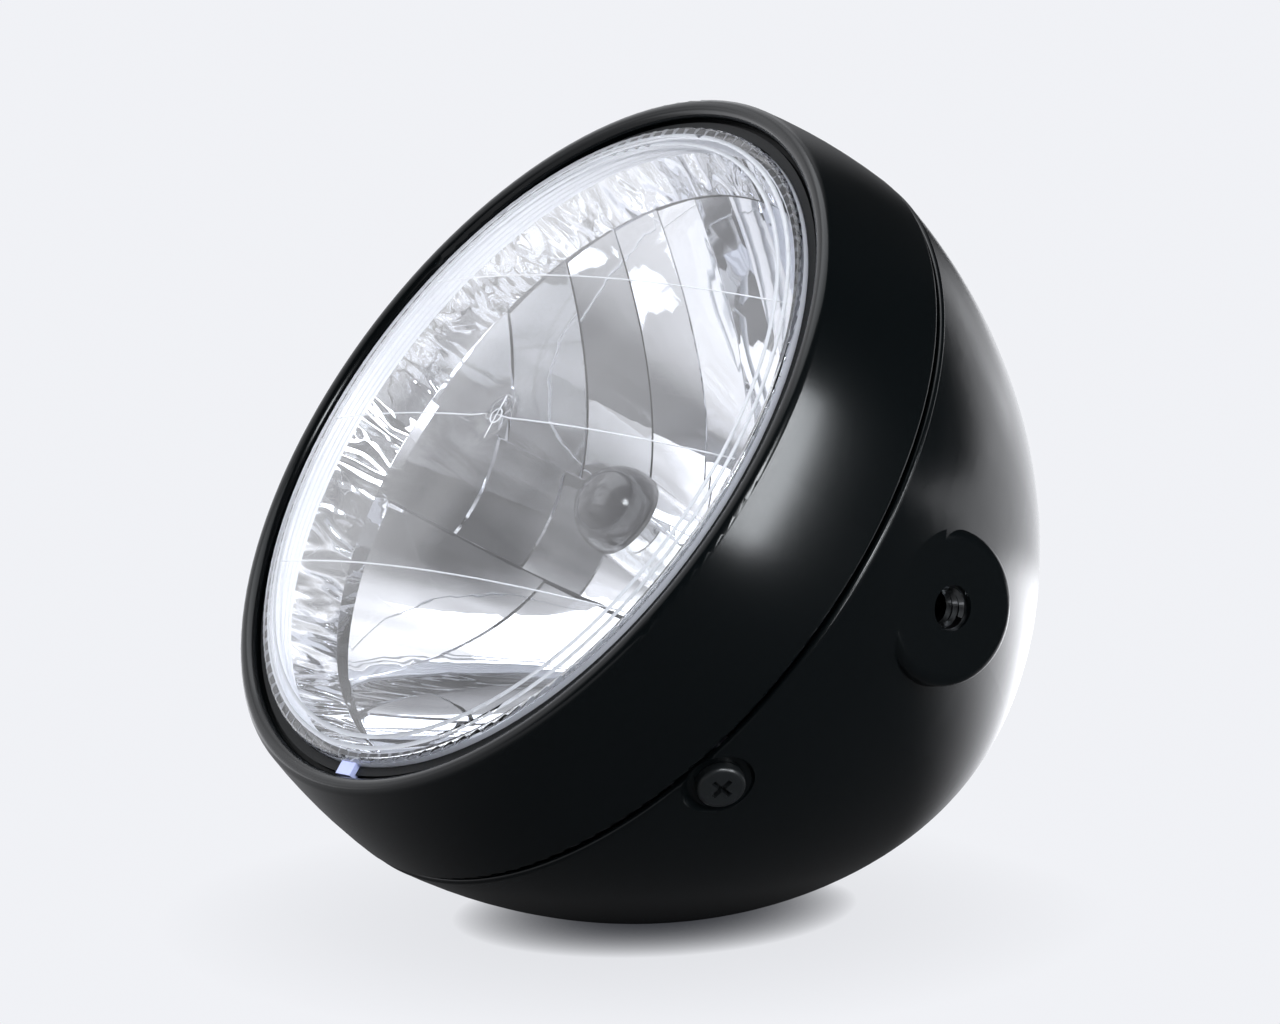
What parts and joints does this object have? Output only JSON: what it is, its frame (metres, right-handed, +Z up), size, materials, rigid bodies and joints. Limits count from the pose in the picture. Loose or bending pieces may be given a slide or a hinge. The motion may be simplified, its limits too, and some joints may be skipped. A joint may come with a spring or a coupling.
{
  "type": "motorcycle headlight",
  "caption": "Round bowl-type motorcycle headlight with a pressed shell, clear domed lens, faceted reflector, bulb and threaded side mounts for fork brackets.",
  "frame": {"origin": "where the optical axis crosses the axis of the two side mounts, which is also the middle of the lamp's box", "axes": "+X out of the side mount on the lamp's left-hand side as seen from in front, -Y out of the lens, +Z up on the motorcycle"},
  "size_m": [0.1648, 0.123, 0.1648],
  "materials": {
    "black_paint": "satin",
    "clear_lens": "gloss",
    "seal_rubber": "matte",
    "bright_reflector": "mirror",
    "zinc_steel": "satin",
    "black_screw": "satin",
    "bulb_metal": "satin",
    "bulb_glass": "gloss",
    "filament": "satin",
    "dark_plastic": "matte",
    "terminal_brass": "satin"
  },
  "bodies": {
    "root": {"front_rim": "black_paint", "rear_shell": "black_paint", "lens": "clear_lens", "lens_seal": "seal_rubber", "reflector": "bright_reflector", "retaining_clips": "zinc_steel", "rim_bracket_right": "zinc_steel", "rim_bracket_left": "zinc_steel", "rim_hook": "zinc_steel", "rim_screws": "black_screw", "bracket_nuts": "zinc_steel", "mount_nut_right": "zinc_steel", "mount_nut_left": "zinc_steel", "bulb_base": "bulb_metal", "bulb_glass": "bulb_glass", "bulb_stem": "bulb_glass", "bulb_filaments": "filament", "bulb_shield": "bulb_metal", "bulb_insulator": "dark_plastic", "bulb_terminals": "terminal_brass", "bulb_spring": "zinc_steel", "spring_screw": "zinc_steel", "dust_boot": "seal_rubber", "position_holder": "dark_plastic", "position_bulb": "bulb_glass", "cable_grommet": "seal_rubber"}
  },
  "joints": []
}
